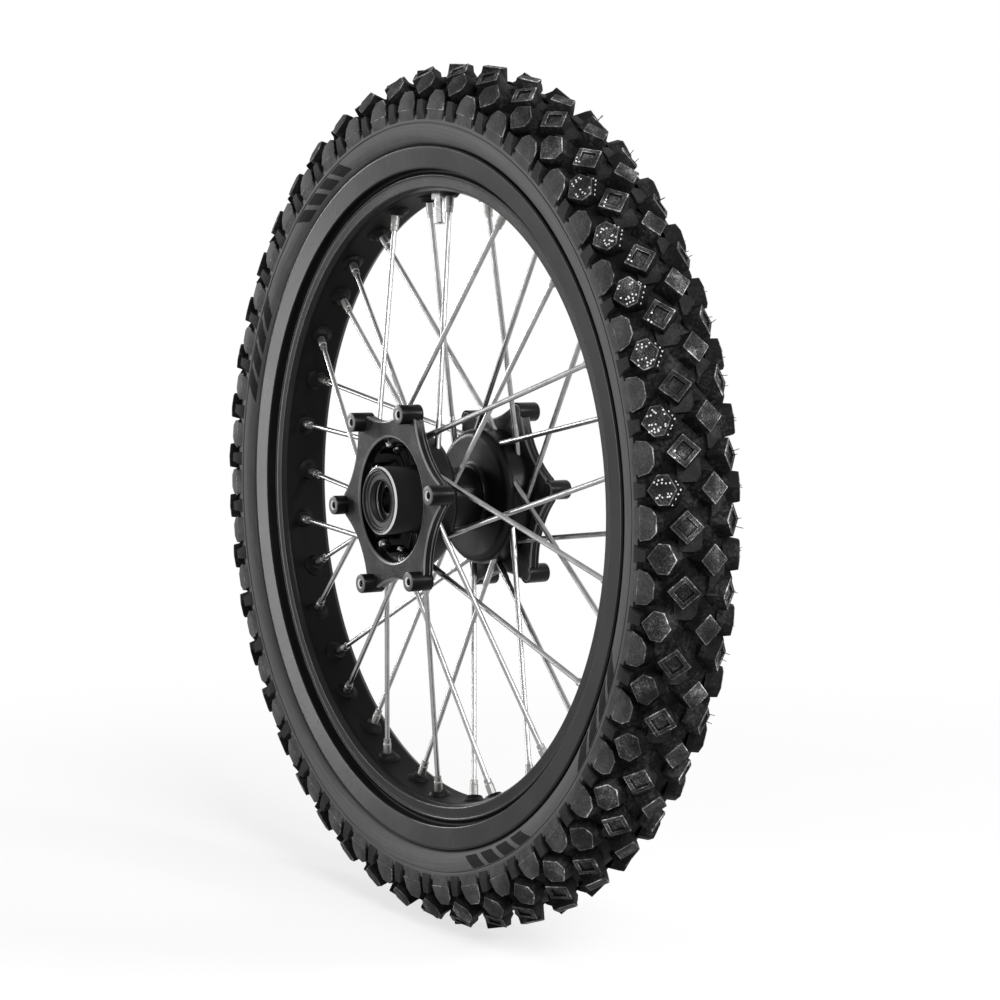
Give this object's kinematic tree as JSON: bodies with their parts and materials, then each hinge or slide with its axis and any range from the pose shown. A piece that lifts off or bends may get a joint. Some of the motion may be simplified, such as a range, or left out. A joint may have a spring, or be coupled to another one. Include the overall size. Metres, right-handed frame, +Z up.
{
  "type": "spoked motorcycle wheel",
  "caption": "Off-road motorcycle wheel: knobbly tyre and tube on a spoked rim, crossed straight-pull spokes and a cast hub with star-shaped bolt flanges that turns on sealed ball bearings.",
  "frame": {"origin": "centre of the wheel, on the axle's axis at the middle plane of the rim", "axes": "+Y along the axle, from the pictured near face to the far face; +Z up, with the valve at the top; +X across"},
  "size_m": [0.6228, 0.117, 0.6228],
  "materials": {
    "tyre_rubber": "matt charcoal rubber",
    "tube_rubber": "smooth black rubber",
    "strip_rubber": "smooth black rubber band",
    "rim_black": "satin black anodised aluminium",
    "spoke_zinc": "bright zinc plate",
    "nipple_nickel": "bright nickel plate",
    "valve_nickel": "bright nickel plate",
    "core_brass": "plain brass",
    "hub_black": "satin black coated casting",
    "bearing_steel": "ground bearing steel",
    "cage_brass": "pressed brass",
    "shield_steel": "dark pressed steel",
    "seal_rubber": "dark grey moulded rubber",
    "spacer_aluminium": "turned aluminium"
  },
  "bodies": {
    "axle_core": {"bearing_near_inner_ring": "bearing_steel", "bearing_far_inner_ring": "bearing_steel", "axle_spacer": "spacer_aluminium"},
    "wheel": {"tyre": "tyre_rubber", "inner_tube": "tube_rubber", "rim_strip": "strip_rubber", "rim": "rim_black", "spokes_near_out": "spoke_zinc", "spokes_near_in": "spoke_zinc", "spokes_far_out": "spoke_zinc", "spokes_far_in": "spoke_zinc", "nipples_near": "nipple_nickel", "nipples_far": "nipple_nickel", "valve_stem": "valve_nickel", "valve_nut": "valve_nickel", "valve_cap": "valve_nickel", "valve_core": "core_brass", "hub_shell": "hub_black", "bearing_near_outer_ring": "bearing_steel", "bearing_near_shields": "shield_steel", "oil_seal_near": "seal_rubber", "bearing_far_outer_ring": "bearing_steel", "bearing_far_shields": "shield_steel", "oil_seal_far": "seal_rubber"},
    "near_ball_set": {"bearing_near_cage": "cage_brass", "bearing_near_balls": "bearing_steel"},
    "far_ball_set": {"bearing_far_cage": "cage_brass", "bearing_far_balls": "bearing_steel"},
    "pin": {"valve_pin": "core_brass"}
  },
  "joints": [
    {"name": "wheel_spin", "type": "hinge", "parent": "axle_core", "child": "wheel", "pos_m": [0, 0, 0], "axis": [0, 1, 0], "continuous": true},
    {"name": "near_balls_spin", "type": "hinge", "parent": "axle_core", "child": "near_ball_set", "pos_m": [0, -0.044, 0], "axis": [0, 1, 0], "continuous": true},
    {"name": "far_balls_spin", "type": "hinge", "parent": "axle_core", "child": "far_ball_set", "pos_m": [0, 0.044, 0], "axis": [0, 1, 0], "continuous": true},
    {"name": "valve_press", "type": "slide", "parent": "wheel", "child": "pin", "axis": [-0.0523, 0, 0.9986], "range_m": [0, 0.0012], "stiffness_N_per_m": 400}
  ],
  "couplings": [
    {"joint": "near_balls_spin", "follows": "wheel_spin", "ratio": 0.6024},
    {"joint": "far_balls_spin", "follows": "wheel_spin", "ratio": 0.6024}
  ]
}
